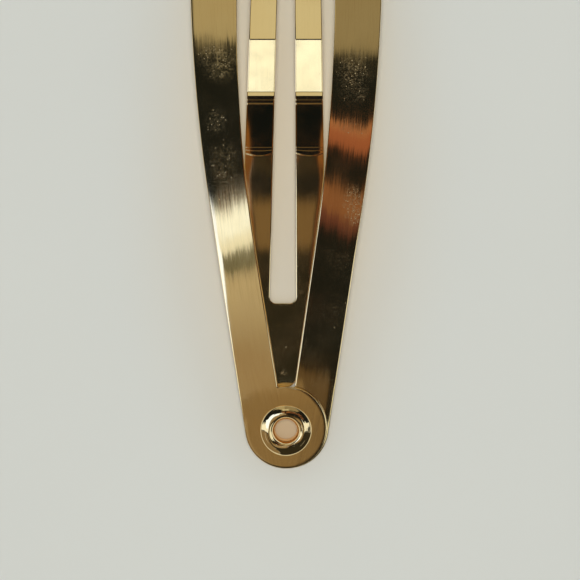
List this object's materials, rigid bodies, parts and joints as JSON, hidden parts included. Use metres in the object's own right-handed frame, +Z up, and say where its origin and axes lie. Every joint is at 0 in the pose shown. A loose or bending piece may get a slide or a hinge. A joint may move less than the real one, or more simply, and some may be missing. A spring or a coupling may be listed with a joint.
{
  "type": "snap hair clip",
  "caption": "Slim teardrop snap hair clip of gilt spring steel: rounded heel, slotted tongue, and tapering arms that overlap under a tubular eyelet.",
  "frame": {"origin": "on the surface that the shut clip lies on, under the middle of its length and width", "axes": "+X across the clip, +Y along it towards the wide heel with the eyelet at -Y, +Z up out of its convex face"},
  "size_m": [0.0146, 0.05, 0.0034],
  "materials": {
    "gilt_spring_steel": "polished gold plating on thin stamped spring steel, with fine lengthwise scratches",
    "gilt_eyelet": "polished gold plating on a rolled tubular eyelet"
  },
  "bodies": {
    "heel": {"heel_and_tongue": "gilt_spring_steel"},
    "arms": {"left_arm": "gilt_spring_steel", "right_arm": "gilt_spring_steel", "eyelet": "gilt_eyelet"}
  },
  "joints": [
    {"name": "snap_open", "type": "hinge", "parent": "heel", "child": "arms", "pos_m": [0, 0.0149, 0.00229], "axis": [-1, 0, 0], "range_deg": [0, 22]}
  ]
}
